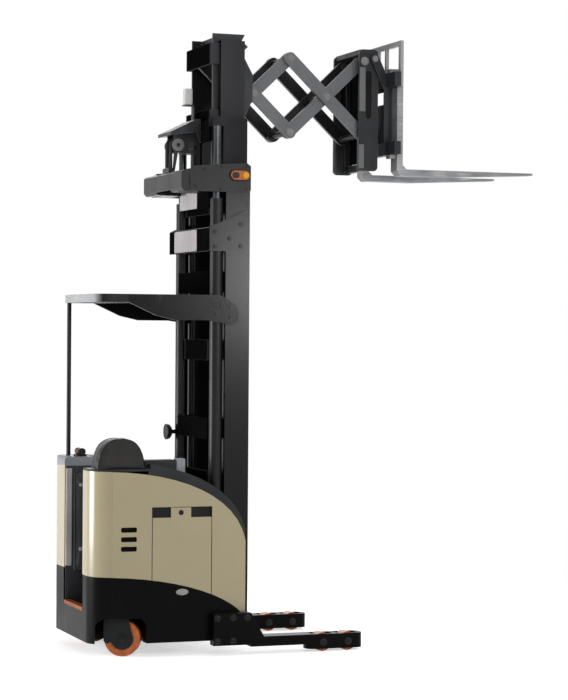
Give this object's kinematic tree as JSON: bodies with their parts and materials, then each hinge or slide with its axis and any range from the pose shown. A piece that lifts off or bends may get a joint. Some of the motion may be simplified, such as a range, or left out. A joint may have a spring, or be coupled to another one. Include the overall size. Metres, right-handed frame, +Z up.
{
  "type": "narrow aisle forklift",
  "caption": "Stand-up narrow aisle reach truck with a staged mast, a double scissor reach, forks, outrigger legs and an overhead guard.",
  "frame": {"origin": "middle of the length and width on the floor", "axes": "+X forward to the fork tips, +Y to the truck left, +Z up"},
  "size_m": [3.2651, 1.22, 4.182],
  "materials": {
    "skirt_black": "satin",
    "cover_cream": "satin",
    "hood_black": "textured",
    "lining_grey": "textured",
    "console_grey": "textured",
    "pad_black": "grained",
    "pad_grey": "grained",
    "orange_poly": "satin",
    "control_black": "satin",
    "battery_case": "matte",
    "mast_black": "satin",
    "rim_grey": "satin",
    "rod_chrome": "polished",
    "amber_lens": "gloss",
    "gear_grey": "matte",
    "carriage_grey": "satin",
    "link_grey": "satin",
    "fork_steel": "worn"
  },
  "bodies": {
    "chassis": {"base_frame": "skirt_black", "right_cover": "cover_cream", "left_cover": "cover_cream", "right_gate": "cover_cream", "left_gate": "cover_cream", "hood": "hood_black", "compartment_lining": "lining_grey", "right_deck": "hood_black", "console_cap": "console_grey", "backrest_pad": "pad_black", "entry_pad": "pad_grey", "entry_bar": "orange_poly", "control_handle": "control_black", "battery": "battery_case", "overhead_guard": "mast_black", "guard_rim": "rim_grey", "guard_post": "mast_black", "outer_mast": "mast_black", "mast_hood": "mast_black", "lift_barrels": "mast_black", "right_leg": "skirt_black", "left_leg": "skirt_black", "amber_reflector": "amber_lens"},
    "drive_steer": {"drive_unit": "gear_grey"},
    "drive_wheel": {"drive_wheel": "orange_poly"},
    "caster": {"caster_yoke": "gear_grey"},
    "caster_wheel": {"caster_wheel": "orange_poly"},
    "load_wheel_rf": {"load_wheel_rf": "orange_poly"},
    "load_wheel_rr": {"load_wheel_rr": "orange_poly"},
    "load_wheel_lf": {"load_wheel_lf": "orange_poly"},
    "load_wheel_lr": {"load_wheel_lr": "orange_poly"},
    "middle_stage": {"middle_mast": "mast_black", "middle_ties": "mast_black", "lift_rods": "rod_chrome", "sheave_bracket": "carriage_grey"},
    "inner_stage": {"inner_mast": "carriage_grey"},
    "carriage": {"reach_carriage": "carriage_grey"},
    "link_a": {"link_a": "link_grey"},
    "link_b": {"link_b": "link_grey"},
    "link_c": {"link_c": "link_grey"},
    "link_d": {"link_d": "link_grey"},
    "fork_frame": {"fork_frame": "carriage_grey"},
    "forks": {"fork_carriage": "mast_black", "load_backrest": "carriage_grey", "right_fork": "fork_steel", "left_fork": "fork_steel"}
  },
  "joints": [
    {"name": "drive_steering", "type": "hinge", "parent": "chassis", "child": "drive_steer", "pos_m": [-1.39255, 0.358, 0.33], "axis": [0, 0, 1], "range_deg": [-90, 90]},
    {"name": "drive_spin", "type": "hinge", "parent": "drive_steer", "child": "drive_wheel", "pos_m": [-1.39255, 0.358, 0.15], "axis": [0, 1, 0], "continuous": true},
    {"name": "caster_swivel", "type": "hinge", "parent": "chassis", "child": "caster", "pos_m": [-1.42755, -0.39, 0.258], "axis": [0, 0, 1], "continuous": true},
    {"name": "caster_spin", "type": "hinge", "parent": "caster", "child": "caster_wheel", "pos_m": [-1.38677, -0.40902, 0.12], "axis": [0.4226, 0.9063, 0], "continuous": true},
    {"name": "load_spin_rf", "type": "hinge", "parent": "chassis", "child": "load_wheel_rf", "pos_m": [0.14245, -0.545, 0.0635], "axis": [0, 1, 0], "continuous": true},
    {"name": "load_spin_rr", "type": "hinge", "parent": "chassis", "child": "load_wheel_rr", "pos_m": [-0.03755, -0.545, 0.0635], "axis": [0, 1, 0], "continuous": true},
    {"name": "load_spin_lf", "type": "hinge", "parent": "chassis", "child": "load_wheel_lf", "pos_m": [0.14245, 0.545, 0.0635], "axis": [0, 1, 0], "continuous": true},
    {"name": "load_spin_lr", "type": "hinge", "parent": "chassis", "child": "load_wheel_lr", "pos_m": [-0.03755, 0.545, 0.0635], "axis": [0, 1, 0], "continuous": true},
    {"name": "mast_lift", "type": "slide", "parent": "chassis", "child": "middle_stage", "axis": [0, 0, 1], "range_m": [-0.42, 2]},
    {"name": "stage_lift", "type": "slide", "parent": "middle_stage", "child": "inner_stage", "axis": [0, 0, 1], "range_m": [-0.42, 2]},
    {"name": "free_lift", "type": "slide", "parent": "inner_stage", "child": "carriage", "axis": [0, 0, 1], "range_m": [-2.31, 0]},
    {"name": "reach", "type": "hinge", "parent": "carriage", "child": "link_a", "pos_m": [-0.68855, 0, 4.043], "axis": [0, -1, 0], "range_deg": [-34.5, 0]},
    {"name": "cross_one", "type": "hinge", "parent": "link_a", "child": "link_b", "pos_m": [-0.42178, 0, 3.78806], "axis": [0, -1, 0], "range_deg": [-0.5, 69.5]},
    {"name": "elbow", "type": "hinge", "parent": "link_a", "child": "link_c", "pos_m": [-0.155, 0, 3.53313], "axis": [0, -1, 0], "range_deg": [-0.5, 69.5]},
    {"name": "cross_two", "type": "hinge", "parent": "link_c", "child": "link_d", "pos_m": [0.11177, 0, 3.78806], "axis": [0, -1, 0], "range_deg": [-69.5, 0.5]},
    {"name": "frame_pivot", "type": "hinge", "parent": "link_c", "child": "fork_frame", "pos_m": [0.37855, 0, 4.043], "axis": [0, -1, 0], "range_deg": [-35, 0.5]},
    {"name": "fork_tilt", "type": "hinge", "parent": "fork_frame", "child": "forks", "pos_m": [0.44855, 0, 4.06], "axis": [0, -1, 0], "range_deg": [-3, 4]}
  ],
  "couplings": [
    {"joint": "stage_lift", "follows": "mast_lift", "ratio": 1},
    {"joint": "cross_one", "follows": "reach", "ratio": -2},
    {"joint": "elbow", "follows": "reach", "ratio": -2},
    {"joint": "cross_two", "follows": "reach", "ratio": 2},
    {"joint": "frame_pivot", "follows": "reach", "ratio": 1}
  ]
}
